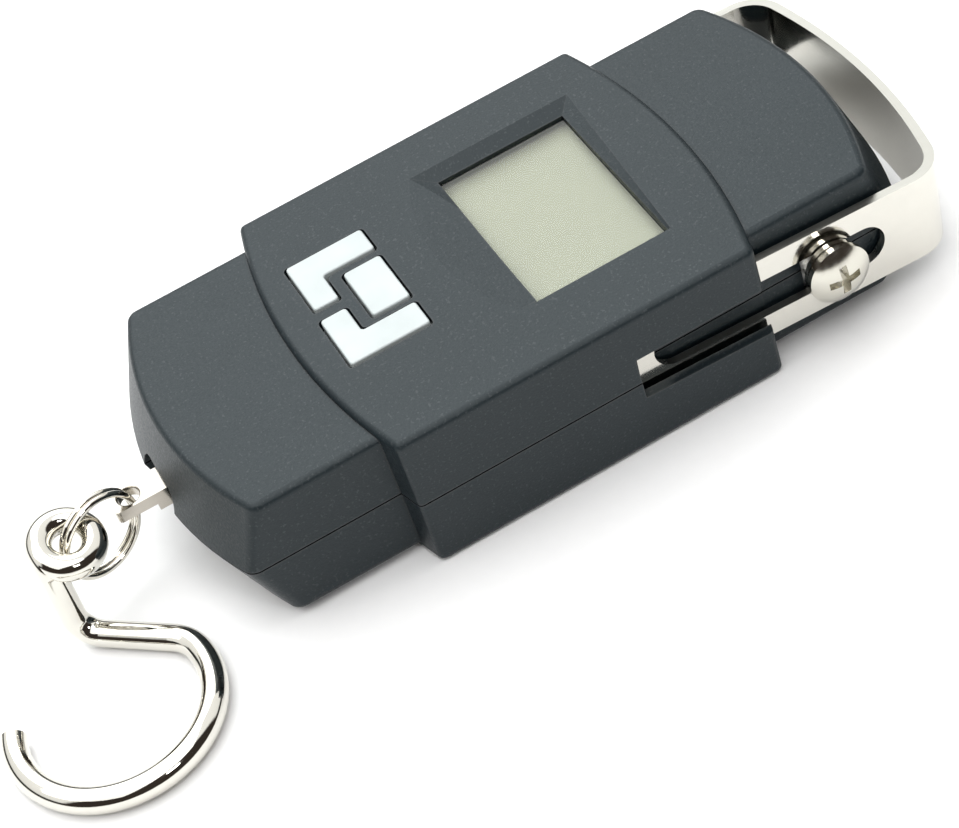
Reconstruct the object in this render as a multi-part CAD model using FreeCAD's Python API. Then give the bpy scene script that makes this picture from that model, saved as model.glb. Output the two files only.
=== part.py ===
import FreeCAD, Part
import math
import os

# Portable digital fish scale with a sliding strap handle, a link ring and a hook.
# The scale lies on its back: +Z out of the display, +Y towards the handle, +X to
# the right of the reader. The origin is the centre of the flat back. Lengths in mm.

Vec = FreeCAD.Vector
X_AXIS = Vec(1, 0, 0)
Y_AXIS = Vec(0, 1, 0)
Z_AXIS = Vec(0, 0, 1)

# Case: a drafted end body with a wider, slightly prouder centre band round it.
case_height = 26.5
seam_z = 13.1
seam_gap = 0.26
wall = 2.0
end_step = 1.2
body_half_width = 25.6
body_seam_half_length = 61.6
body_face_half_length = 57.3
body_bulge = 5.4
band_half_width = 30.0
band_half_length = 34.4
band_bulge = 4.4
corner_radius = 2.2
edge_radius = 1.2

# Side channels in the band, where the handle's strap runs.
channel_start_y = 7.9
channel_outer_x = 28.3
channel_low_z = 4.4
channel_high_z = 23.7
window_top_z = 18.0
lip_top_z = 9.9
lip_drop = 0.045

# Display and buttons.
display_half_width = 17.35
display_low_y = -0.1
display_high_y = 22.5
bezel_side = 2.8
bezel_other_side = 0.35
bezel_low = 3.5
bezel_high = 2.6
bezel_depth = 1.1
bezel_shallow = 0.3
dish_x = -2.0
dish_radius = 39.7
dish_width = 7.9
dish_depth = 1.0
button_gap = 0.42
button_proud = 0.45
button_travel = 0.5
button_top_z = case_height + button_proud

# Board stack under the face.
board_low_z = 19.0
board_thick = 1.2
board_top_z = board_low_z + board_thick
face_inner_z = 24.3

# Load path: cross bar, load cell and hook bracket.
anchor_y = 42.4
cross_bar_side = 8.0
cell_low_z = 10.0
cell_thick = 6.4
cell_half_width = 12.0
cell_start_y = -2.4
bracket_low_z = 12.9
bracket_thick = 2.2
bracket_hole_y = -66.0
bracket_hole_radius = 1.8
bracket_half_width = 2.55
bracket_end_y = -69.0

# Batteries: two AAA cells across the case behind the band.
cell_radius = 5.1
battery_length = 44.0
battery_z = 6.45
battery_ys = (-21.2, -10.4)
bay_low_y = -27.2
bay_high_y = -4.4
bay_half_x = 24.0
bay_ceiling_z = 11.8
bay_roof = 0.8
door_thick = 1.05
door_recess_depth = 1.25
door_tab_low_z = 1.45
door_tab_high_z = 2.1
door_groove_high_z = 2.45

# Handle: a flat strap bent into a bail, slotted for its two screws.
strap_thick = 1.4
strap_width = 15.6
strap_inner_x = 26.2
strap_end_y = 8.7
strap_slot_low_y = 11.6
strap_slot_high_y = 52.0
strap_slot_width = 7.2
bail_apex_y = 67.0
bail_bulge = 3.7
bail_corner_radius = 6.5
handle_droop_deg = 2.8

# Screws at the handle.
bush_radius = 3.4
flange_radius = 4.7
screw_head_radius = 5.1
screw_head_x = 29.35
screw_shank_radius = 2.45

# Link ring and hook.
ring_radius = 6.9
ring_wire_radius = 0.55
ring_coil_offset = 0.53
ring_pitch_deg = 7.5
ring_yaw_deg = 20.5
ring_roll_deg = 2.3
ring_eye_angle_deg = 41.0
hook_wire_radius = 2.12
hook_eye_radius = 4.15
hook_eye_inset = 0.3
hook_eye_lean_deg = 21.0
hook_eye_turn_deg = 38.0
hook_eye_exit_deg = 35.0
hook_bow_radius = 15.6
hook_bow_x = 25.4
hook_bow_y = -83.3
hook_rest_z = hook_wire_radius + 0.02
hook_tip_deg = -109.0
hook_shoulder_deg = 100.0
hook_foot_x = 7.9
hook_foot_y = -82.0
hook_neck_bend = 2.6
hook_neck_run = 2.1
hook_foot_bend = 4.0
hook_shoulder_bend = 7.8
hook_shoulder_run = 2.78


def box(x0, x1, y0, y1, z0, z1):
    return Part.makeBox(x1 - x0, y1 - y0, z1 - z0, Vec(x0, y0, z0))


def both_sides(shape):
    """The shape and its mirror image across the YZ plane, as one shape."""
    return Part.makeCompound([shape, mirrored(shape)])


def mirrored(shape):
    return shape.mirror(Vec(0, 0, 0), X_AXIS)


def cut_all(shape, tools):
    return shape.cut(Part.makeCompound(tools)) if tools else shape


def edges_where(shape, test):
    return [edge for edge in shape.Edges if test(edge)]


def edge_at_height(edge, z):
    box_of_edge = edge.BoundBox
    return abs(box_of_edge.ZMin - z) < 0.01 and abs(box_of_edge.ZMax - z) < 0.01


def upright(edge):
    box_of_edge = edge.BoundBox
    return box_of_edge.ZLength > 5.0 and box_of_edge.XLength < 0.5


def bulged_outline(half_width, half_length, bulge, z):
    """Plan outline with straight sides and ends that bulge outward as arcs."""
    corner_y = half_length - bulge
    right_low = Vec(half_width, -corner_y, z)
    right_high = Vec(half_width, corner_y, z)
    left_high = Vec(-half_width, corner_y, z)
    left_low = Vec(-half_width, -corner_y, z)
    high_arc = Part.Arc(right_high, Vec(0, half_length, z), left_high)
    low_arc = Part.Arc(left_low, Vec(0, -half_length, z), right_low)
    return Part.Wire([
        Part.makeLine(right_low, right_high),
        high_arc.toShape(),
        Part.makeLine(left_high, left_low),
        low_arc.toShape(),
    ])


def end_body(seam_level, face_level, inset):
    """Half of the drafted end body, from the seam to its face, inset all round."""
    half_width = body_half_width - inset
    seam_wire = bulged_outline(half_width, body_seam_half_length - inset, body_bulge, seam_level)
    face_wire = bulged_outline(half_width, body_face_half_length - inset, body_bulge, face_level)
    return Part.makeLoft([seam_wire, face_wire], True, True)


def rounded_case(shape, face_level, corner, edge):
    """Round the upright corners, then the rim of the outer face."""
    shape = shape.makeFillet(corner, edges_where(shape, upright))
    rim = edges_where(shape, lambda e: edge_at_height(e, face_level))
    return shape.makeFillet(edge, rim)


def case_half_blank(seam_level, body_face, band_face):
    """Outside of one half case: end body and centre band together."""
    body = rounded_case(end_body(seam_level, body_face, 0.0), body_face, corner_radius, edge_radius)
    outline = Part.Face(bulged_outline(band_half_width, band_half_length, band_bulge, seam_level))
    band = outline.extrude(Vec(0, 0, band_face - seam_level))
    band = rounded_case(band, band_face, 1.0, edge_radius)
    return body.fuse(band).removeSplitter()


def case_half_cavity(seam_level, body_face, band_inner):
    """Inside of one half case: the end body's cavity and the wider hook half of the band."""
    tip = wall if body_face > seam_level else -wall
    cavity = end_body(seam_level, body_face - tip, wall)
    side = box(-band_half_width + wall, band_half_width - wall, -27.0, channel_start_y - wall,
               min(seam_level, band_inner), max(seam_level, band_inner))
    return cavity.fuse(side)


def strap_channels(z_low, z_high, window_low, window_high):
    """Cutters for the pair of strap channels and the side windows that show them."""
    channel = box(body_half_width + 0.1, channel_outer_x, channel_start_y, 45.0, z_low, z_high)
    window = box(channel_outer_x - 0.1, 31.0, channel_start_y, 45.0, window_low, window_high)
    return both_sides(channel.fuse(window))


def bezel_bevel():
    """Bevel round the display: deep and wide on one side, running out towards the other."""
    far = display_half_width
    small = bezel_other_side
    outer = [(-far - bezel_side, display_low_y - bezel_low, 0), (far + small, display_low_y - small, 0),
             (far + small, display_high_y + small, 0), (-far - bezel_side, display_high_y + bezel_high, 0)]
    inner = [(-far, display_low_y, bezel_depth), (far, display_low_y, bezel_shallow),
             (far, display_high_y, bezel_shallow), (-far, display_high_y, bezel_depth)]
    rims = [Part.makePolygon([Vec(x, y, case_height - deep) for x, y, deep in rim + rim[:1]])
            for rim in (outer, inner)]
    return Part.makeLoft(rims, True, True)


def face_dish():
    """Shallow crescent dished into the face between the display and the keys."""
    slope = dish_width / dish_depth
    over = 0.2
    deep = 1.1
    low = case_height - deep
    foot = Vec(dish_x, display_low_y - dish_width + dish_radius, low)
    cone = Part.makeCone(dish_radius - slope * deep, dish_radius + slope * over, deep + over, foot)
    edge = display_half_width + bezel_side
    brow = display_low_y - dish_width - 1
    outline = [(-edge, display_low_y - bezel_low), (-edge, brow), (display_half_width, brow),
               (display_half_width, display_low_y + 0.5), (-display_half_width, display_low_y + 0.5),
               (-display_half_width, display_low_y)]
    wire = Part.makePolygon([Vec(x, y, low) for x, y in outline + outline[:1]])
    return cone.common(Part.Face(wire).extrude(Vec(0, 0, deep + over)))


def button_outlines():
    """Plan outlines of the keys: two L shapes that hook round a rectangular middle key."""
    left = [(-14.9, -28.1), (-3.4, -28.1), (-3.4, -23.9), (-9.5, -23.9), (-9.5, -14.8), (-14.9, -14.8)]
    middle = [(-7.6, -21.3), (3.7, -21.3), (3.7, -14.9), (-7.6, -14.9)]
    right = [(-0.8, -28.4), (10.8, -28.4), (10.8, -14.9), (5.3, -14.9), (5.3, -24.0), (-0.8, -24.0)]
    return {"left": left, "middle": middle, "right": right}


def prism(points, z0, z1, grow=0.0, corner=0.6):
    """Upright prism on a plan outline, grown outward, with rounded upright corners."""
    wire = Part.makePolygon([Vec(x, y, z0) for x, y in points + points[:1]])
    face = Part.Face(wire)
    if grow:
        face = Part.Face(wire.makeOffset2D(grow, 2))
    solid = face.extrude(Vec(0, 0, z1 - z0))
    posts = edges_where(solid, lambda e: e.BoundBox.ZLength > 0.9 * (z1 - z0))
    return solid.makeFillet(corner, posts)


def screw_posts(z0, z1, outer, inner):
    """Round posts for the four case screws, bored through."""
    posts = []
    for x, y in case_screw_places():
        post = Part.makeCylinder(outer, z1 - z0, Vec(x, y, z0))
        bore = Part.makeCylinder(inner, z1 - z0, Vec(x, y, z0))
        posts.append(post.cut(bore))
    return posts


def case_screw_places():
    return [(-17.0, -46.0), (17.0, -46.0), (-15.0, 51.0), (15.0, 51.0)]


def end_slot():
    """Rounded slot in the hook end that the bracket comes out of."""
    middle_z = 13.3
    half_height = 3.6
    half_width = 6.4
    straight = half_width - half_height
    slot = box(-straight, straight, -64.0, -52.0, middle_z - half_height, middle_z + half_height)
    ends = [Part.makeCylinder(half_height, 12.0, Vec(x, -64.0, middle_z), Y_AXIS)
            for x in (-straight, straight)]
    return slot.fuse(ends)


def cross_bar_notches():
    half = cross_bar_side / 2 + 0.05
    return box(-26.0, 26.0, anchor_y - half, anchor_y + half, seam_z - half, seam_z + half)


def front_shell():
    low = seam_z + seam_gap / 2
    body_face = case_height - end_step
    shell = case_half_blank(low, body_face, case_height)
    shell = shell.cut(case_half_cavity(low, body_face, face_inner_z))
    cuts = [strap_channels(low - 1, channel_high_z, low - 1, window_top_z)]
    cuts.append(box(-23.5, 23.5, -30.0, 26.4, 20.0, face_inner_z))
    cuts.append(bezel_bevel())
    cuts.append(face_dish())
    cuts.append(box(-display_half_width, display_half_width, display_low_y, display_high_y,
                    face_inner_z - 1, case_height))
    for outline in button_outlines().values():
        cuts.append(prism(outline, face_inner_z - 1, case_height + 1, button_gap, 0.8))
    cuts.append(end_slot())
    cuts.append(cross_bar_notches())
    shell = cut_all(shell, cuts)
    posts = screw_posts(low, body_face - 1.0, 2.6, 1.15)
    for x, y in board_screw_places():
        stud = Part.makeCylinder(2.0, face_inner_z + 0.2 - board_top_z, Vec(x, y, board_top_z + 0.05))
        posts.append(stud.cut(Part.makeCylinder(0.9, 3.5, Vec(x, y, board_top_z))))
    return shell.fuse(posts).removeSplitter()


def lip_window():
    """Cutter above the rear shell's side lip, whose top falls gently towards the handle."""
    far_y = 45.0
    far_z = lip_top_z - lip_drop * (far_y - channel_start_y)
    points = [Vec(25.0, channel_start_y, lip_top_z), Vec(25.0, far_y, far_z),
              Vec(25.0, far_y, 15.0), Vec(25.0, channel_start_y, 15.0),
              Vec(25.0, channel_start_y, lip_top_z)]
    face = Part.Face(Part.makePolygon(points))
    cutter = face.extrude(Vec(6.0, 0, 0))
    inner = box(24.0, body_half_width + 0.1, 0.0, 50.0, 0.0, 16.0)
    return both_sides(cutter.cut(inner))


def door_recess():
    """Space for the battery door: plate recess and the side grooves."""
    depth = door_recess_depth
    plate = box(-24.9, 24.9, -36.0, bay_high_y + 0.5, -0.5, depth)
    groove = box(23.0, 26.1, -30.6, -5.4, depth, door_groove_high_z)
    return plate.fuse(both_sides(groove))


def rear_shell():
    high = seam_z - seam_gap / 2
    shell = case_half_blank(high, end_step, 0.0)
    shell = shell.cut(case_half_cavity(high, end_step, wall))
    roof_top = bay_ceiling_z + bay_roof
    bay = box(-25.7, 25.7, bay_low_y - 1.6, bay_high_y + 1.2, door_recess_depth, roof_top)
    shell = shell.fuse(bay)
    cuts = [strap_channels(channel_low_z, high + 1, lip_top_z, high + 1), lip_window()]
    cuts.append(box(-bay_half_x, bay_half_x, bay_low_y, bay_high_y, -1.0, bay_ceiling_z))
    cuts.append(door_recess())
    cuts.append(end_slot())
    cuts.append(cross_bar_notches())
    for x, y in case_screw_places():
        cuts.append(Part.makeCylinder(2.4, 3.0, Vec(x, y, 0.0)))
    shell = cut_all(shell, cuts)
    posts = []
    for x, y in case_screw_places():
        post = Part.makeCylinder(3.4, high - 2.0, Vec(x, y, 2.0))
        post = post.cut(Part.makeCylinder(2.4, 3.0, Vec(x, y, 0.0)))
        posts.append(post)
    shell = shell.fuse(posts)
    bores = [Part.makeCylinder(1.5, 12.0, Vec(x, y, 2.5)) for x, y in case_screw_places()]
    return cut_all(shell, bores).removeSplitter()


def pan_screw(place, axis, head_radius, head_height, shank_radius, shank_length):
    """Machine screw with a domed head and a cross recess; the shank runs along axis."""
    rim = 0.35 * head_height
    rise = head_height - rim
    dome_radius = (head_radius ** 2 + rise ** 2) / (2 * rise)
    dome = Part.makeSphere(dome_radius, Vec(0, 0, dome_radius - head_height))
    head = Part.makeCylinder(head_radius, head_height, Vec(0, 0, -head_height)).common(dome)
    shank = Part.makeCylinder(shank_radius, shank_length)
    long = 0.52 * head_radius
    short = 0.13 * head_radius
    depth = 0.62 * head_height
    recess = [box(-a, a, -b, b, -head_height - 1, depth - head_height)
              for a, b in ((long, short), (short, long))]
    screw = cut_all(head.fuse(shank), recess)
    screw.Placement = FreeCAD.Placement(place, FreeCAD.Rotation(Z_AXIS, axis))
    return screw


def case_screws():
    return Part.makeCompound([
        pan_screw(Vec(x, y, 2.98), Z_AXIS, 2.2, 1.5, 1.12, 12.0) for x, y in case_screw_places()
    ])


def battery_door():
    bulge_edge = bulged_outline(band_half_width, band_half_length, band_bulge, 0.0)
    outline = Part.Face(bulge_edge).extrude(Vec(0, 0, door_thick))
    plate = outline.common(box(-24.7, 24.7, -36.0, bay_high_y + 0.3, -1.0, 3.0))
    rim = edges_where(plate, lambda e: edge_at_height(e, 0.0) and e.CenterOfMass.y < -30)
    plate = plate.makeFillet(0.7, rim)
    low = door_tab_low_z
    high = door_tab_high_z
    tabs = []
    for y in (-9.0, -16.0):
        tabs.append(box(23.2, 23.9, y, y + 3.0, door_thick - 0.1, high))
        tabs.append(box(23.2, 25.8, y, y + 3.0, low, high))
    solid_tabs = Part.makeCompound(tabs)
    door = plate.fuse(tabs + [mirrored(tab) for tab in solid_tabs.Solids])
    ridges = [box(-9.0, 9.0, y, y + 0.7, -0.5, 0.35) for y in (-31.5, -30.1, -28.7, -27.3)]
    return cut_all(door, ridges).removeSplitter()


def display_window():
    window = box(-19.6, 19.6, -2.6, 25.0, 23.2, face_inner_z - 0.05)
    boss = box(-display_half_width + 0.1, display_half_width - 0.1, display_low_y + 0.1,
               display_high_y - 0.1, face_inner_z - 0.1, 24.6)
    return window.fuse(boss).removeSplitter()


def display_frame():
    """Moulded frame that clamps the display glass to the board."""
    frame = box(-21.0, 21.0, -4.6, 26.0, board_top_z + 0.05, 23.1)
    glass_room = box(-19.1, 19.1, -2.9, 24.3, 21.4, 23.4)
    view = box(-16.5, 16.5, 0.4, 21.4, board_top_z - 1, 23.4)
    strips = [box(-17.6, 17.6, y - 0.05, y + 1.55, board_top_z - 1, 22.0) for y in (-2.6, 22.5)]
    return cut_all(frame, [glass_room, view] + strips)


def display_glass():
    return box(-19.0, 19.0, -2.8, 24.2, 21.5, 23.05)


def zebra_strips():
    return Part.makeCompound([box(-17.5, 17.5, y, y + 1.5, board_top_z + 0.02, 21.48)
                              for y in (-2.6, 22.5)])


def board_screw_places():
    return [(x, y) for x in (-21.4, 21.4) for y in (-24.6, -8.0)]


def circuit_board():
    board = box(-23.2, 23.2, -26.8, 26.0, board_low_z, board_top_z)
    holes = [Part.makeCylinder(1.1, 3.0, Vec(x, y, board_low_z - 1)) for x, y in board_screw_places()]
    return cut_all(board, holes)


def board_screws():
    return Part.makeCompound([
        pan_screw(Vec(x, y, board_low_z), Z_AXIS, 1.8, 1.1, 0.85, 3.6) for x, y in board_screw_places()
    ])


def chip():
    drop = Part.makeSphere(9.0, Vec(4.0, 12.0, board_low_z + 7.6))
    return drop.common(box(-3.0, 11.0, 5.0, 19.0, board_low_z - 3.0, board_low_z - 0.02))


def key_centres():
    return {"left": (-9.8, -25.9), "middle": (-2.0, -18.1), "right": (5.2, -26.2)}


def key_switches():
    """Low tact switches on the board, one under each key."""
    switches = []
    for x, y in key_centres().values():
        base = box(x - 2.1, x + 2.1, y - 0.9, y + 0.9, board_top_z + 0.02, board_top_z + 0.9)
        stem = Part.makeCylinder(0.7, 0.4, Vec(x, y, board_top_z + 0.9))
        switches.append(base.fuse(stem))
    return Part.makeCompound(switches)


def button(name):
    outline = button_outlines()[name]
    cap = prism(outline, face_inner_z - 0.6, button_top_z, 0.0, 0.6)
    rim = edges_where(cap, lambda e: edge_at_height(e, button_top_z))
    cap = cap.makeFillet(0.3, rim)
    x, y = key_centres()[name]
    flange_points = button_outlines()[name]
    flange = prism(flange_points, face_inner_z - 1.0, face_inner_z - 0.1, 0.7, 0.6)
    stop = box(x - 2.4, x + 2.4, y - 1.6, y + 1.6, face_inner_z - 1.8, face_inner_z - 0.9)
    stem_bottom = board_top_z + 1.3 + button_travel + 0.15
    stem = Part.makeCylinder(1.2, face_inner_z - 0.9 - stem_bottom, Vec(x, y, stem_bottom))
    return cap.fuse([flange, stop, stem]).removeSplitter()


def cross_bar():
    half = cross_bar_side / 2
    bar = box(-25.5, 25.5, anchor_y - half, anchor_y + half, seam_z - half, seam_z + half)
    ends = edges_where(bar, lambda e: e.BoundBox.XLength > 50.0)
    bar = bar.makeChamfer(0.5, ends)
    taps = [Part.makeCylinder(screw_shank_radius + 0.03, 12.0, Vec(x, anchor_y, seam_z), X_AXIS)
            for x in (-25.6, 13.6)]
    bolt_bores = [Part.makeCylinder(1.6, 12.0, Vec(x, anchor_y - 6.0, seam_z), Y_AXIS)
                  for x in (-7.0, 7.0)]
    return cut_all(bar, taps + bolt_bores)


def cross_bar_bolts():
    head_y = anchor_y + cross_bar_side / 2 + 0.02
    return Part.makeCompound([
        pan_screw(Vec(x, head_y, seam_z), Y_AXIS * -1, 2.7, 2.4, 1.5, 15.0) for x in (-7.0, 7.0)
    ])


def load_cell():
    """S type bar cell: two opposed slots and a dumb-bell window make its bending beams."""
    end_y = anchor_y - cross_bar_side / 2 - 0.05
    block = box(-cell_half_width, cell_half_width, cell_start_y, end_y, cell_low_z,
                cell_low_z + cell_thick)
    bottom = cell_low_z - 1
    tall = cell_thick + 2
    cuts = [box(-cell_half_width - 1, 7.5, 9.6, 11.0, bottom, bottom + tall)]
    cuts.append(box(-7.5, cell_half_width + 1, 26.0, 27.4, bottom, bottom + tall))
    for x in (-4.4, 4.4):
        cuts.append(Part.makeCylinder(3.0, tall, Vec(x, 18.5, bottom)))
    cuts.append(box(-4.4, 4.4, 17.7, 19.3, bottom, bottom + tall))
    cuts.append(box(-5.4, 5.4, cell_start_y - 1, 7.0, bracket_low_z - 0.05,
                    bracket_low_z + bracket_thick + 0.05))
    for y in (0.8, 4.6):
        cuts.append(Part.makeCylinder(1.15, tall, Vec(0, y, bottom)))
    for x in (-7.0, 7.0):
        cuts.append(Part.makeCylinder(1.52, 8.0, Vec(x, end_y - 7.9, seam_z), Y_AXIS))
    return cut_all(block, cuts)


def strain_gauges():
    top = cell_low_z + cell_thick
    return Part.makeCompound([box(x - 1.6, x + 1.6, 16.4, 20.6, top + 0.02, top + 0.25)
                              for x in (-9.6, 9.6)])


def bracket_bolts():
    top = cell_low_z + cell_thick + 0.02
    return Part.makeCompound([
        pan_screw(Vec(0, y, top), Z_AXIS * -1, 1.7, 1.2, 1.1, 6.0) for y in (0.8, 4.6)
    ])


def hook_bracket():
    """Flat draw bar, square at its outer end, with a hole for the ring and a rib underneath."""
    low = bracket_low_z
    high = low + bracket_thick
    bar = box(-bracket_half_width, bracket_half_width, bracket_end_y, 6.9, low, high)
    bar = bar.makeFillet(0.8, edges_where(bar, lambda e: e.BoundBox.ZLength > 2 and e.CenterOfMass.y < -60))
    inner = box(-5.2, 5.2, -50.0, 6.9, low, high)
    rib = box(-bracket_half_width, bracket_half_width, -62.6, -56.0, low - 1.4, low + 0.2)
    plate = bar.fuse([inner, rib]).removeSplitter()
    holes = [Part.makeCylinder(bracket_hole_radius, 6.0, Vec(0, bracket_hole_y, low - 2))]
    for y in (0.8, 4.6):
        holes.append(Part.makeCylinder(1.15, 6.0, Vec(0, y, low - 2)))
    plate = cut_all(plate, holes)
    rims = edges_where(plate, lambda e: e.Closed and abs(e.Curve.Radius - bracket_hole_radius) < 0.01)
    return plate.makeFillet(0.35, rims)


def gauge_ribbon():
    """Flat flexible lead from the load cell up to the board."""
    top = cell_low_z + cell_thick + 0.3
    points = [Vec(12.6, 16.0, top), Vec(15.0, 16.0, top), Vec(15.0, 16.0, board_low_z - 0.3),
              Vec(20.0, 16.0, board_low_z - 0.3), Vec(20.0, 16.0, board_low_z - 0.05),
              Vec(14.7, 16.0, board_low_z - 0.05), Vec(14.7, 16.0, top + 0.25),
              Vec(12.6, 16.0, top + 0.25), Vec(12.6, 16.0, top)]
    return Part.Face(Part.makePolygon(points)).extrude(Vec(0, 5.0, 0))


def battery(index):
    """AAA cell lying along X, with its raised contact; neighbours point opposite ways."""
    y = battery_ys[index]
    flip = -1 if index else 1
    start = Vec(-flip * battery_length / 2, y, battery_z)
    along = Vec(flip, 0, 0)
    can = Part.makeCylinder(cell_radius, battery_length - 1.0, start, along)
    can = can.makeFillet(0.5, [e for e in can.Edges if e.Closed])
    button_end = Part.makeCylinder(1.9, 1.3, start + along * (battery_length - 1.3), along)
    return can.fuse(button_end)


def battery_spring(index):
    """Bowed leaf contact that presses on the flat end of a cell."""
    flip = -1 if index else 1
    half = 3.4
    rise = 1.5
    leaf = 0.25
    foot = 0.6
    front = Part.Arc(Vec(0, 0, -half), Vec(rise, 0, 0), Vec(0, 0, half)).toShape()
    back = Part.Arc(Vec(0, 0, half - foot), Vec(rise - leaf, 0, 0), Vec(0, 0, foot - half)).toShape()
    top = Part.makeLine(Vec(0, 0, half), Vec(0, 0, half - foot))
    bottom = Part.makeLine(Vec(0, 0, foot - half), Vec(0, 0, -half))
    strip = Part.Face(Part.Wire([front, top, back, bottom])).extrude(Vec(0, 5.0, 0))
    strip.translate(Vec(0, -2.5, 0))
    if flip < 0:
        strip = mirrored(strip)
    strip.translate(Vec(flip * (0.4 - bay_half_x), battery_ys[index], battery_z))
    return strip


def contact_plates():
    """Sheet contacts at the ends of the battery bay; one bridges both cells."""
    low = battery_z - 3.3
    high = battery_z + 3.3
    outer = bay_half_x - 0.05
    inner = bay_half_x - 0.3
    bridge = box(-outer, -inner, -25.0, -6.6, low, high)
    ends = [box(inner, outer, y - 3.6, y + 3.6, low, high) for y in battery_ys]
    return Part.makeCompound([bridge] + ends)


def strap_path(offset):
    """Plan line of the bent strap, offset outward from its inner face."""
    side_x = strap_inner_x + offset
    apex = bail_apex_y - strap_thick + offset
    corner_y = apex - bail_bulge
    high_arc = Part.Arc(Vec(side_x, corner_y, 0), Vec(0, apex, 0), Vec(-side_x, corner_y, 0))
    right = Part.makeLine(Vec(side_x, strap_end_y, 0), Vec(side_x, corner_y, 0))
    left = Part.makeLine(Vec(-side_x, corner_y, 0), Vec(-side_x, strap_end_y, 0))
    return right, high_arc.toShape(), left


def strap_area(offset):
    right, bail, left = strap_path(offset)
    close = Part.makeLine(left.Vertexes[1].Point, right.Vertexes[0].Point)
    prism_solid = Part.Face(Part.Wire([right, bail, left, close])).extrude(Vec(0, 0, strap_width))
    corners = edges_where(prism_solid, lambda e: e.BoundBox.ZLength > 10.0 and
                          e.CenterOfMass.y > strap_end_y + 10.0)
    return prism_solid.makeFillet(bail_corner_radius - strap_thick + offset, corners)


def droop(shape):
    """Tilt about the screws' axis, where the strap hangs by its clearance."""
    turned = shape.copy()
    turned.rotate(Vec(0, anchor_y, seam_z), X_AXIS, -handle_droop_deg)
    return turned


def handle():
    strap = strap_area(strap_thick).cut(strap_area(0.0))
    strap.translate(Vec(0, 0, seam_z - strap_width / 2))
    lower_ends = edges_where(strap, lambda e: e.BoundBox.XLength > 1.0 and e.BoundBox.XLength < 2.0
                             and abs(e.CenterOfMass.y - strap_end_y) < 0.01)
    strap = strap.makeFillet(2.5, lower_ends)
    half = strap_slot_width / 2
    slot = box(-29.0, 29.0, strap_slot_low_y + half, strap_slot_high_y - half,
               seam_z - half, seam_z + half)
    ends = [Part.makeCylinder(half, 58.0, Vec(-29.0, y, seam_z), X_AXIS)
            for y in (strap_slot_low_y + half, strap_slot_high_y - half)]
    return droop(strap.cut(slot.fuse(ends)))


def handle_bushes():
    """Shouldered bushes that space the strap off the case and carry it by its slots."""
    seat_x = 25.52
    flange_x = strap_inner_x + strap_thick + 0.25
    place = Vec(seat_x, anchor_y, seam_z)
    barrel = Part.makeCylinder(bush_radius, screw_head_x - 0.02 - seat_x, place, X_AXIS)
    flange = Part.makeCylinder(flange_radius, 0.8, Vec(flange_x, anchor_y, seam_z), X_AXIS)
    bore = Part.makeCylinder(screw_shank_radius + 0.05, 8.0, Vec(25.0, anchor_y, seam_z), X_AXIS)
    groove = Part.makeCylinder(bush_radius + 1, 0.3, Vec(flange_x + 1.0, anchor_y, seam_z), X_AXIS)
    core = Part.makeCylinder(bush_radius - 0.3, 0.3, Vec(flange_x + 1.0, anchor_y, seam_z), X_AXIS)
    groove = groove.cut(core)
    bush = barrel.fuse(flange).cut(Part.makeCompound([bore, groove]))
    return both_sides(bush)


def handle_screws():
    screw = pan_screw(Vec(screw_head_x, anchor_y, seam_z), X_AXIS * -1, screw_head_radius, 2.8,
                      screw_shank_radius, 14.0)
    return both_sides(screw)


def ring_frame():
    """Centre of the link ring, its direction away from the bracket, and its normal."""
    pitch = math.radians(ring_pitch_deg)
    yaw = math.radians(ring_yaw_deg)
    roll = math.radians(ring_roll_deg)
    hole = Vec(0, bracket_hole_y, bracket_low_z + bracket_thick / 2)
    outward = Vec(math.sin(yaw) * math.cos(pitch), -math.cos(yaw) * math.cos(pitch), -math.sin(pitch))
    level = Vec(math.cos(yaw), math.sin(yaw), 0)
    normal = level * math.cos(roll) + level.cross(outward) * math.sin(roll)
    centre = hole + outward * ring_radius
    return centre, outward, normal


def link_ring():
    """Split ring: two tight coils, drawn as one closed double bead."""
    centre, _, normal = ring_frame()
    beads = [Part.makeTorus(ring_radius, ring_wire_radius, Vec(0, 0, z))
             for z in (-ring_coil_offset, ring_coil_offset)]
    web = Part.makeCylinder(ring_radius + 0.2, 2 * ring_coil_offset, Vec(0, 0, -ring_coil_offset))
    web = web.cut(Part.makeCylinder(ring_radius - 0.2, 2 * ring_coil_offset, Vec(0, 0, -ring_coil_offset)))
    ring = web.fuse(beads).removeSplitter()
    turn = FreeCAD.Rotation(Z_AXIS, normal)
    ring.Placement = FreeCAD.Placement(centre, turn)
    return ring


def hook_frame():
    """Eye centre, eye normal and the eye's downhill and level directions."""
    centre, outward, normal = ring_frame()
    strand = normal.cross(outward)
    if strand.z < 0:
        strand = strand * -1
    angle = math.radians(ring_eye_angle_deg)
    reach = ring_radius - hook_eye_inset
    eye = centre + (outward * math.cos(angle) + strand * math.sin(angle)) * reach
    lean = math.radians(hook_eye_lean_deg)
    turn = math.radians(hook_eye_turn_deg)
    level = Vec(-math.sin(turn), math.cos(turn), 0)
    eye_normal = Vec(math.cos(turn), math.sin(turn), 0) * math.sin(lean) + Z_AXIS * math.cos(lean)
    return eye, eye_normal, level.cross(eye_normal), level


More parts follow.
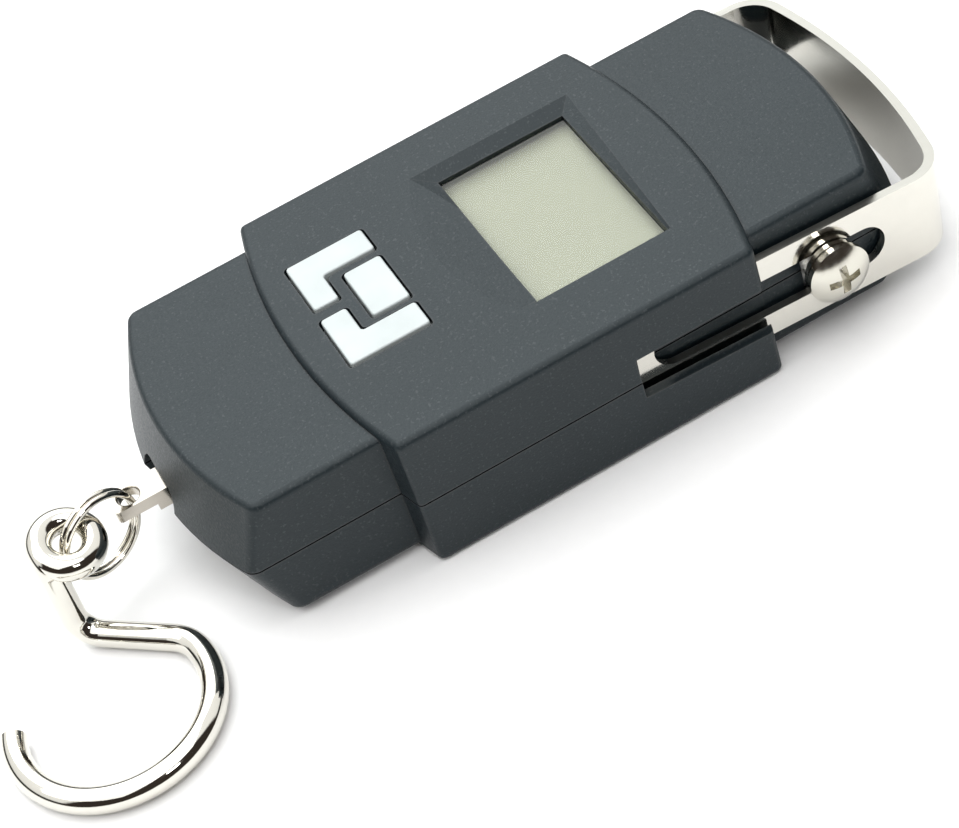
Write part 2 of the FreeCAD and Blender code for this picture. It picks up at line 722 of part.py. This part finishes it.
def bent_wire(corners, bend_radii):
    """Centre line of a bent rod: straight lengths joined by round bends at the inner corners."""
    edges = []
    last = corners[0]
    for before, corner, after, radius in zip(corners, corners[1:], corners[2:], bend_radii):
        into = (corner - before).normalize()
        away = (after - corner).normalize()
        half_turn = into.getAngle(away) / 2
        reach = radius * math.tan(half_turn)
        first = corner - into * reach
        final = corner + away * reach
        middle = corner + (away - into).normalize() * (radius / math.cos(half_turn) - radius)
        edges.append(Part.LineSegment(last, first).toShape())
        edges.append(Part.Arc(first, middle, final).toShape())
        last = final
    edges.append(Part.LineSegment(last, corners[-1]).toShape())
    return edges


def hook_path():
    """Centre line: out of the eye, down the neck, along the shank and round the bow."""
    eye, _, downhill, level = hook_frame()
    turned = math.radians(hook_eye_exit_deg)
    start = eye - (level * math.cos(turned) + downhill * math.sin(turned)) * hook_eye_radius
    leaving = downhill * math.cos(turned) - level * math.sin(turned)
    foot = Vec(hook_foot_x, hook_foot_y, hook_rest_z)

    def bow(angle_deg):
        angle = math.radians(angle_deg)
        return Vec(hook_bow_x + hook_bow_radius * math.cos(angle),
                   hook_bow_y + hook_bow_radius * math.sin(angle), hook_rest_z)

    joint = bow(hook_shoulder_deg)
    facing = math.radians(hook_shoulder_deg - 90)
    corners = [start, start + leaving * hook_neck_run, foot,
               joint - Vec(math.cos(facing), math.sin(facing), 0) * hook_shoulder_run, joint]
    edges = bent_wire(corners, (hook_neck_bend, hook_foot_bend, hook_shoulder_bend))
    edges.append(Part.Arc(joint, bow(0.0), bow(hook_tip_deg)).toShape())
    return Part.Wire(edges)


def hook():
    eye, eye_normal = hook_frame()[:2]
    loop = Part.makeTorus(hook_eye_radius, hook_wire_radius)
    loop.Placement = FreeCAD.Placement(eye, FreeCAD.Rotation(Z_AXIS, eye_normal))
    path = hook_path()
    start = path.Edges[0]
    first = start.FirstParameter
    profile = Part.Wire(Part.makeCircle(hook_wire_radius, start.valueAt(first), start.tangentAt(first)))
    rod = path.makePipeShell([profile], True, False)
    return loop.fuse(rod)


def parts():
    made = {
        "front_shell": front_shell(),
        "rear_shell": rear_shell(),
        "case_screws": case_screws(),
        "battery_door": battery_door(),
        "display_window": display_window(),
        "display_frame": display_frame(),
        "display_glass": display_glass(),
        "zebra_strips": zebra_strips(),
        "circuit_board": circuit_board(),
        "board_screws": board_screws(),
        "chip": chip(),
        "key_switches": key_switches(),
        "cross_bar": cross_bar(),
        "cross_bar_bolts": cross_bar_bolts(),
        "load_cell": load_cell(),
        "strain_gauges": strain_gauges(),
        "gauge_ribbon": gauge_ribbon(),
        "bracket_bolts": bracket_bolts(),
        "hook_bracket": hook_bracket(),
        "contact_plates": contact_plates(),
        "handle": handle(),
        "handle_bushes": handle_bushes(),
        "handle_screws": handle_screws(),
        "link_ring": link_ring(),
        "hook": hook(),
    }
    for name in button_outlines():
        made["button_" + name] = button(name)
    for index in range(len(battery_ys)):
        made["battery_" + str(index + 1)] = battery(index)
        made["battery_spring_" + str(index + 1)] = battery_spring(index)
    return made


os.makedirs("parts", exist_ok=True)
for node, shape in parts().items():
    shape.exportStep("parts/" + node + ".step")
    size = shape.BoundBox
    print(node, shape.isValid(), len(shape.Solids), "volume", round(shape.Volume, 1),
          "low", [round(v, 2) for v in (size.XMin, size.YMin, size.ZMin)],
          "high", [round(v, 2) for v in (size.XMax, size.YMax, size.ZMax)])
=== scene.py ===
import bpy
from mathutils import Matrix, Vector


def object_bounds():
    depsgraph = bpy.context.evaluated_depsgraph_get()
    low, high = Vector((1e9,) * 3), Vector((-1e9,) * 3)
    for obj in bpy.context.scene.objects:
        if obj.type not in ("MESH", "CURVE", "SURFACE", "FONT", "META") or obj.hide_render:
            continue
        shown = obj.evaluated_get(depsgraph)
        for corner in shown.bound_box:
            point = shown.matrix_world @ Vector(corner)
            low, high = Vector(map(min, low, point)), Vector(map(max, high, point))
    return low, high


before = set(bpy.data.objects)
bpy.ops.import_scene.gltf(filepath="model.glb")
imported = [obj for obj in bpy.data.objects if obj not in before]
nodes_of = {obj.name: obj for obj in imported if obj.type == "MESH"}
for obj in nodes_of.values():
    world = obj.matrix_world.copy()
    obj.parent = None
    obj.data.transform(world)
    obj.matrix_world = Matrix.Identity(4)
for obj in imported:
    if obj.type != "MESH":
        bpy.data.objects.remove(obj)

# Digital fish scale: looks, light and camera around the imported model. Metres.
cad_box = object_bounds()
scene = bpy.context.scene


# ---------------------------------------------------------------- shader kit

class Shader:
    """A node material with a Principled surface and short ways to add to it."""

    def __init__(self, name):
        self.material = bpy.data.materials.new(name)
        self.material.use_nodes = True
        self.tree = self.material.node_tree
        self.surface = self.tree.nodes["Principled BSDF"]
        self.place = self.add("ShaderNodeTexCoord").outputs["Object"]

    def add(self, kind, **settings):
        node = self.tree.nodes.new(kind)
        for key, value in settings.items():
            setattr(node, key, value)
        return node

    def link(self, source, target):
        self.tree.links.new(source, target)

    def fixed(self, **values):
        """Constant sockets of the surface; underscores stand for spaces."""
        for key, value in values.items():
            self.surface.inputs[key.replace("_", " ")].default_value = value

    def stretched(self, scale):
        """Object coordinates scaled by (x, y, z), for grain that runs one way."""
        mapping = self.add("ShaderNodeMapping")
        mapping.inputs["Scale"].default_value = scale
        self.link(self.place, mapping.inputs["Vector"])
        return mapping.outputs["Vector"]

    def noise(self, scale, detail, roughness, place=None):
        node = self.add("ShaderNodeTexNoise")
        node.inputs["Scale"].default_value = scale
        node.inputs["Detail"].default_value = detail
        node.inputs["Roughness"].default_value = roughness
        self.link(place or self.place, node.inputs["Vector"])
        return node.outputs["Fac"]

    def remap(self, value, low_in, high_in, low_out, high_out):
        node = self.add("ShaderNodeMapRange")
        for socket, number in zip(("From Min", "From Max", "To Min", "To Max"),
                                  (low_in, high_in, low_out, high_out)):
            node.inputs[socket].default_value = number
        self.link(value, node.inputs["Value"])
        return node.outputs["Result"]

    def mixed(self, factor, colour_a, colour_b):
        node = self.add("ShaderNodeMix", data_type="RGBA")
        self.link(factor, node.inputs["Factor"])
        for socket, colour in ((node.inputs[6], colour_a), (node.inputs[7], colour_b)):
            if isinstance(colour, tuple):
                socket.default_value = (*colour, 1.0)
            else:
                self.link(colour, socket)
        return node.outputs[2]

    def maths(self, operation, *values):
        node = self.add("ShaderNodeMath", operation=operation)
        for socket, value in zip(node.inputs, values):
            if isinstance(value, (int, float)):
                socket.default_value = value
            else:
                self.link(value, socket)
        return node.outputs[0]

    def split(self, vector):
        """The X, Y and Z of a vector or colour, as sockets by name."""
        node = self.add("ShaderNodeSeparateXYZ")
        self.link(vector, node.inputs[0])
        return node.outputs

    def edge_mask(self, radius, low, high):
        """1 on edges sharper than radius, 0 on open faces."""
        bevel = self.add("ShaderNodeBevel", samples=6)
        bevel.inputs["Radius"].default_value = radius
        geometry = self.add("ShaderNodeNewGeometry")
        dot = self.add("ShaderNodeVectorMath", operation="DOT_PRODUCT")
        self.link(bevel.outputs["Normal"], dot.inputs[0])
        self.link(geometry.outputs["Normal"], dot.inputs[1])
        return self.remap(dot.outputs["Value"], high, low, 0.0, 1.0)

    def dust(self, scale, size, amount):
        """A few small round flecks, one to a cell and mostly absent."""
        cells = self.add("ShaderNodeTexVoronoi", feature="F1")
        cells.inputs["Scale"].default_value = scale
        self.link(self.place, cells.inputs["Vector"])
        fleck = self.remap(cells.outputs["Distance"], 0.6 * size, size, 1.0, 0.0)
        chance = self.split(cells.outputs["Color"])["X"]
        kept = self.remap(chance, 0.90, 0.91, 0.0, amount)
        return self.maths("MULTIPLY", fleck, kept)

    def painted_shade_openness(self, reach):
        """0 deep in a crack narrower than reach, 1 on open faces; it sets where shade is
        painted into cracks.
        """
        node = self.add("ShaderNodeAmbientOcclusion", samples=6)
        node.inputs["Distance"].default_value = reach
        return self.remap(node.outputs["AO"], 0.25, 0.75, 0.0, 1.0)

    def bump(self, height, distance, strength):
        """Relief on the surface: distance in metres for a height of 1."""
        node = self.add("ShaderNodeBump")
        node.inputs["Distance"].default_value = distance
        node.inputs["Strength"].default_value = strength
        self.link(height, node.inputs["Height"])
        self.link(node.outputs["Normal"], self.surface.inputs["Normal"])

    def colour(self, source):
        self.link(source, self.surface.inputs["Base Color"])

    def roughness(self, pattern, span):
        """Roughness from one end of span to the other as a noise pattern rises."""
        result = self.remap(pattern, 0.3, 0.7, *span)
        self.link(result, self.surface.inputs["Roughness"])


# ----------------------------------------------------------------- materials

# Surface colours as linear red, green, blue. A pair is the two ends of a cloudy mix.
CHARCOAL = (0.0040, 0.0095, 0.0125), (0.0085, 0.0150, 0.0190)
CHARCOAL_SPECK = (0.09, 0.095, 0.10)
CHARCOAL_RUBBED = (0.055, 0.056, 0.058)
PALE_DUST = (0.4, 0.39, 0.37)
# Painted shade: the near-black colour given to cracks and seams where light does not reach.
PAINTED_CRACK_SHADE = (0.0005, 0.0005, 0.0005)
KEY_SILVER = (0.46, 0.50, 0.50), (0.58, 0.63, 0.63)
CLEAR_PLASTIC = (0.9, 0.93, 0.9), (0.98, 1.0, 0.98)
DISPLAY_GREEN = (0.218, 0.235, 0.138), (0.243, 0.260, 0.154)
DISPLAY_PEARL = (0.197, 0.214, 0.130)
SOLDER_MASK = (0.02, 0.16, 0.06), (0.03, 0.22, 0.09)
COPPER_TRACK = (0.10, 0.36, 0.14)
CELL_BLUE = (0.02, 0.07, 0.26), (0.03, 0.10, 0.34)
CELL_END = (0.62, 0.60, 0.55)
WARM_NICKEL = (0.66, 0.64, 0.57)
RING_NICKEL = (0.70, 0.67, 0.60)
BRIGHT_NICKEL = (0.74, 0.72, 0.66)
BRACKET_NICKEL = (0.55, 0.51, 0.45)
CUT_EDGE = (0.36, 0.35, 0.32)
PLATED_STEEL = (0.62, 0.62, 0.6)
ALUMINIUM = (0.77, 0.78, 0.8)
WHITE_PAPER = (0.90, 0.90, 0.90), (0.93, 0.93, 0.93)


def case_plastic():
    """Charcoal plastic with a fine spark-eroded grain, rubbed a little on its edges, with
    painted shade in its cracks.
    """
    s = Shader("case_plastic")
    grain = s.noise(2600.0, 2.0, 0.6)
    mottle = s.noise(60.0, 3.0, 0.6)
    specks = s.remap(s.noise(1900.0, 1.0, 0.5), 0.62, 0.72, 0.0, 0.22)
    rubbed = s.maths("MULTIPLY", s.edge_mask(0.0005, 0.93, 0.995), s.noise(420.0, 3.0, 0.7))
    base = s.mixed(mottle, *CHARCOAL)
    base = s.mixed(specks, base, CHARCOAL_SPECK)
    base = s.mixed(rubbed, base, CHARCOAL_RUBBED)
    base = s.mixed(s.dust(260.0, 0.045, 0.35), base, PALE_DUST)
    # Painted shade: ambient occlusion darkens the colour and lowers the gloss in cracks and
    # seams.
    unshaded = s.painted_shade_openness(0.0007)
    s.colour(s.mixed(unshaded, PAINTED_CRACK_SHADE, base))
    s.link(s.maths("MULTIPLY", unshaded, 0.385), s.surface.inputs["Specular IOR Level"])
    s.fixed(Specular_Tint=(0.94, 0.99, 1.0, 1.0))
    s.roughness(grain, (0.36, 0.50))
    s.bump(grain, 0.00007, 0.6)
    return s.material


def key_plastic():
    """Pale silver key plastic, satin."""
    s = Shader("key_plastic")
    fine = s.noise(2200.0, 2.0, 0.5)
    cloud = s.noise(160.0, 2.0, 0.5)
    s.colour(s.mixed(cloud, *KEY_SILVER))
    s.roughness(fine, (0.34, 0.48))
    s.fixed(Specular_IOR_Level=0.38)
    s.bump(fine, 0.00002, 0.4)
    return s.material


def polished_nickel(name, streak, tone, shine, cut_edges=False):
    """Nickel plate: mirror-like, with fine scratches along the direction streak.

    With cut_edges, the faces that look up or down are the cut edges of a strip, and duller.
    """
    s = Shader(name)
    lines = s.noise(1.0, 3.0, 0.6, s.stretched(streak))
    cloud = s.noise(240.0, 3.0, 0.6)
    plate = s.mixed(cloud, tone, tuple(0.9 * value for value in tone))
    gloss = s.remap(lines, 0.35, 0.75, *shine)
    if cut_edges:
        facing = s.split(s.add("ShaderNodeTexCoord").outputs["Normal"])["Z"]
        cut = s.remap(s.maths("ABSOLUTE", facing), 0.6, 0.9, 0.0, 1.0)
        plate = s.mixed(cut, plate, CUT_EDGE)
        gloss = s.maths("ADD", gloss, s.maths("MULTIPLY", cut, 0.2))
    s.colour(plate)
    s.link(gloss, s.surface.inputs["Roughness"])
    s.bump(lines, 0.000012, 0.35)
    s.fixed(Metallic=1.0)
    return s.material


def plain_metal(name, tone, shine, grain_scale):
    """Machined or plated metal with a visible grain."""
    s = Shader(name)
    grain = s.noise(1.0, 4.0, 0.6, s.stretched(grain_scale))
    s.colour(s.mixed(grain, tone, tuple(0.8 * value for value in tone)))
    s.roughness(grain, shine)
    s.bump(grain, 0.00002, 0.5)
    s.fixed(Metallic=1.0)
    return s.material


def moulded(name, tones, scale, rough, depth):
    """Moulded plastic, rubber or film: two close tones and a matching bump."""
    s = Shader(name)
    grain = s.noise(scale, 3.0, 0.6)
    s.colour(s.mixed(grain, *tones))
    s.roughness(grain, rough)
    s.bump(grain, depth, 0.5)
    return s.material


def clear_window():
    """Clear cover over the display: nearly all see-through, a thin gloss on top."""
    s = Shader("clear_window")
    haze = s.noise(900.0, 2.0, 0.5)
    s.colour(s.mixed(haze, *CLEAR_PLASTIC))
    s.roughness(haze, (0.05, 0.09))
    s.fixed(Alpha=0.1)
    return s.material


def display_panel():
    """Reflective display: pale green-grey film with a fine pearly grain."""
    s = Shader("display_panel")
    pearl = s.noise(3200.0, 2.0, 0.6)
    wash = s.noise(45.0, 1.0, 0.5)
    base = s.mixed(wash, *DISPLAY_GREEN)
    s.colour(s.mixed(s.remap(pearl, 0.35, 0.75, 0.0, 0.25), base, DISPLAY_PEARL))
    s.roughness(pearl, (0.45, 0.6))
    s.fixed(Specular_IOR_Level=0.30)
    s.bump(pearl, 0.00001, 0.3)
    return s.material


def board_laminate():
    """Green solder mask with copper tracks showing through as slightly raised lines."""
    s = Shader("board_laminate")
    tracks = s.add("ShaderNodeTexBrick")
    tracks.inputs["Scale"].default_value = 160.0
    tracks.inputs["Mortar Size"].default_value = 0.03
    s.link(s.place, tracks.inputs["Vector"])
    weave = s.noise(900.0, 2.0, 0.5)
    base = s.mixed(weave, *SOLDER_MASK)
    s.colour(s.mixed(tracks.outputs["Fac"], base, COPPER_TRACK))
    s.roughness(weave, (0.25, 0.4))
    s.bump(tracks.outputs["Fac"], 0.00004, 0.5)
    return s.material


def cell_jacket():
    """Printed metal jacket of a cell: plain bands of colour along its length."""
    s = Shader("cell_jacket")
    from_middle = s.maths("ABSOLUTE", s.split(s.place)["X"])
    band = s.remap(from_middle, 0.0125, 0.0128, 0.0, 1.0)
    grain = s.noise(700.0, 2.0, 0.5)
    s.colour(s.mixed(band, s.mixed(grain, *CELL_BLUE), CELL_END))
    s.roughness(grain, (0.2, 0.32))
    s.fixed(Metallic=0.4)
    return s.material


# Grain scale along X, Y and Z: a small number draws the grain out that way.
ALONG_X = (60.0, 3000.0, 3000.0)
ALONG_Y = (3000.0, 60.0, 3000.0)
EVEN = (1500.0, 1500.0, 1500.0)

finish = {
    "case": case_plastic(),
    "keys": key_plastic(),
    "window": clear_window(),
    "display": display_panel(),
    "black": moulded("black_plastic", ((0.012, 0.012, 0.013), (0.02, 0.02, 0.022)), 1800.0,
                     (0.45, 0.6), 0.00003),
    "rubber": moulded("contact_rubber", ((0.45, 0.20, 0.18), (0.6, 0.3, 0.26)), 2400.0,
                      (0.6, 0.8), 0.00003),
    "board": board_laminate(),
    "switch": moulded("switch_plastic", ((0.22, 0.22, 0.24), (0.3, 0.3, 0.32)), 1800.0,
                      (0.4, 0.55), 0.00002),
    "film": moulded("gauge_film", ((0.55, 0.28, 0.06), (0.68, 0.38, 0.1)), 1500.0,
                    (0.25, 0.4), 0.00001),
    "cell": cell_jacket(),
    "strap": polished_nickel("strap_nickel", ALONG_Y, BRIGHT_NICKEL, (0.08, 0.18),
                             cut_edges=True),
    "hook": polished_nickel("hook_nickel", EVEN, BRIGHT_NICKEL, (0.04, 0.09)),
    "ring": polished_nickel("ring_nickel", EVEN, RING_NICKEL, (0.05, 0.10)),
    "screw": polished_nickel("screw_nickel", EVEN, WARM_NICKEL, (0.13, 0.22)),
    "bracket": polished_nickel("bracket_nickel", ALONG_Y, BRACKET_NICKEL, (0.12, 0.24)),
    "plated": plain_metal("plated_steel", PLATED_STEEL, (0.2, 0.4), EVEN),
    "bar": plain_metal("bar_aluminium", ALUMINIUM, (0.25, 0.45), ALONG_X),
}

# Which pieces have each finish.
looks = {
    "case": ("front_shell", "rear_shell", "battery_door"),
    "keys": ("button_left", "button_middle", "button_right"),
    "window": ("display_window",),
    "display": ("display_glass",),
    "black": ("display_frame", "chip"),
    "rubber": ("zebra_strips",),
    "board": ("circuit_board",),
    "switch": ("key_switches",),
    "film": ("strain_gauges", "gauge_ribbon"),
    "cell": ("battery_1", "battery_2"),
    "strap": ("handle",),
    "hook": ("hook",),
    "ring": ("link_ring",),
    "screw": ("handle_screws", "handle_bushes"),
    "bracket": ("hook_bracket",),
    "plated": ("case_screws", "board_screws", "cross_bar_bolts", "bracket_bolts",
               "contact_plates", "battery_spring_1", "battery_spring_2"),
    "bar": ("cross_bar", "load_cell"),
}
for look, names in looks.items():
    for name in names:
        slots = nodes_of[name].data.materials
        slots.clear()
        slots.append(finish[look])


# ------------------------------------------------------------ floor and light

TABLE_HALF = 3.0
TABLE_DROP = 0.00003


def floor():
    """Plain white table, a hair below the lowest point of the scale."""
    half = TABLE_HALF
    mesh = bpy.data.meshes.new("floor")
    corners = [(-half, -half, 0), (half, -half, 0), (half, half, 0), (-half, half, 0)]
    mesh.from_pydata(corners, [], [(0, 1, 2, 3)])
    table = bpy.data.objects.new("floor", mesh)
    table.location.z = cad_box[0][2] - TABLE_DROP
    scene.collection.objects.link(table)
    s = Shader("floor_paper")
    tooth = s.noise(400.0, 2.0, 0.5)
    s.colour(s.mixed(tooth, *WHITE_PAPER))
    s.fixed(Roughness=0.9)
    mesh.materials.append(s.material)


def softbox(name, place, size, power, tint=(1.0, 1.0, 1.0)):
    """Rectangular lamp at place, turned to the middle of the scale; power in watts."""
    lamp = bpy.data.lights.new(name, "AREA")
    lamp.shape = "RECTANGLE"
    lamp.size, lamp.size_y = size
    lamp.energy = power
    lamp.color = tint
    holder = bpy.data.objects.new(name, lamp)
    holder.location = place
    aim = -Vector(place)
    holder.rotation_euler = aim.to_track_quat("-Z", "Y").to_euler()
    scene.collection.objects.link(holder)


# Stops of the room's ramps: where the brightness changes, and the brightness there.
# Height runs from 0 at the horizon to 1 overhead; front is 1 towards +X.
HORIZON_TINT = (0.75, 0.74, 0.70, 1.0)
WHITE = (1.0, 1.0, 1.0, 1.0)
WALLS = ((0.04, 0.70), (0.08, 0.03), (0.22, 0.03), (0.32, 0.85), (0.7, 0.95))
LIT_HEIGHTS = ((0.03, 1.0), (0.06, 0.0), (0.80, 0.0), (0.88, 1.0))
LIT_SIDES = ((0.16, 1.0), (0.26, 0.0), (0.98, 0.0))
DARK_ROOM = (0.035, 0.028, 0.024, 1.0)
ROOM_STRENGTH = 1.25


def surroundings():
    """Bright studio with a dark band above the horizon and a dark room behind the camera."""
    world = bpy.data.worlds.new("studio")
    world.use_nodes = True
    tree = world.node_tree

    def ramp(value, first, stops):
        node = tree.nodes.new("ShaderNodeValToRGB")
        tree.links.new(value, node.inputs["Fac"])
        marks = node.color_ramp.elements
        marks[0].position, marks[1].position = 0.0, 1.0
        marks[0].color, marks[1].color = first, WHITE
        for position, level in stops:
            marks.new(position).color = (level, level, level * 0.98, 1.0)
        return node.outputs["Color"]

    where = tree.nodes.new("ShaderNodeTexCoord")
    split = tree.nodes.new("ShaderNodeSeparateXYZ")
    tree.links.new(where.outputs["Generated"], split.inputs[0])
    height, front = split.outputs["Z"], split.outputs["X"]

    lit = tree.nodes.new("ShaderNodeMix")
    lit.data_type = "RGBA"
    lit.blend_type = "LIGHTEN"
    lit.inputs["Factor"].default_value = 1.0
    tree.links.new(ramp(height, WHITE, LIT_HEIGHTS), lit.inputs[6])
    tree.links.new(ramp(front, WHITE, LIT_SIDES), lit.inputs[7])

    room = tree.nodes.new("ShaderNodeMix")
    room.data_type = "RGBA"
    tree.links.new(lit.outputs[2], room.inputs["Factor"])
    room.inputs[6].default_value = DARK_ROOM
    tree.links.new(ramp(height, HORIZON_TINT, WALLS), room.inputs[7])

    background = tree.nodes["Background"]
    tree.links.new(room.outputs[2], background.inputs["Color"])
    background.inputs["Strength"].default_value = ROOM_STRENGTH
    scene.world = world


floor()
surroundings()
softbox("back_box", (-0.75, 0.05, 0.75), (1.1, 0.8), 5.0, (0.93, 0.98, 1.0))
softbox("top_box", (0.1, -0.25, 1.0), (1.4, 1.4), 9.0)
softbox("front_box", (0.52, 0.12, 0.50), (0.14, 0.10), 0.7)
scene.view_settings.view_transform = "Standard"


# --------------------------------------------------------------------- camera

VIEW_PLACE = (0.30254, -0.07508, 0.30668)
VIEW_RIGHT = (0.43901, 0.86420, -0.24581)
VIEW_UP = (-0.57900, 0.48132, 0.65810)
VIEW_BACK = (0.68704, -0.14659, 0.71168)
SENSOR_WIDTH = 36.0
FOCAL_LENGTH = 103.28


def camera():
    """Looks down over the display from the reader's right, with the hook nearest."""
    lens = bpy.data.cameras.new("camera")
    lens.sensor_width = SENSOR_WIDTH
    lens.lens = FOCAL_LENGTH
    lens.clip_start = 0.01
    view = bpy.data.objects.new("camera", lens)
    turn = Matrix((VIEW_RIGHT, VIEW_UP, VIEW_BACK)).transposed().to_4x4()
    view.matrix_world = Matrix.Translation(VIEW_PLACE) @ turn
    scene.collection.objects.link(view)
    scene.camera = view


camera()
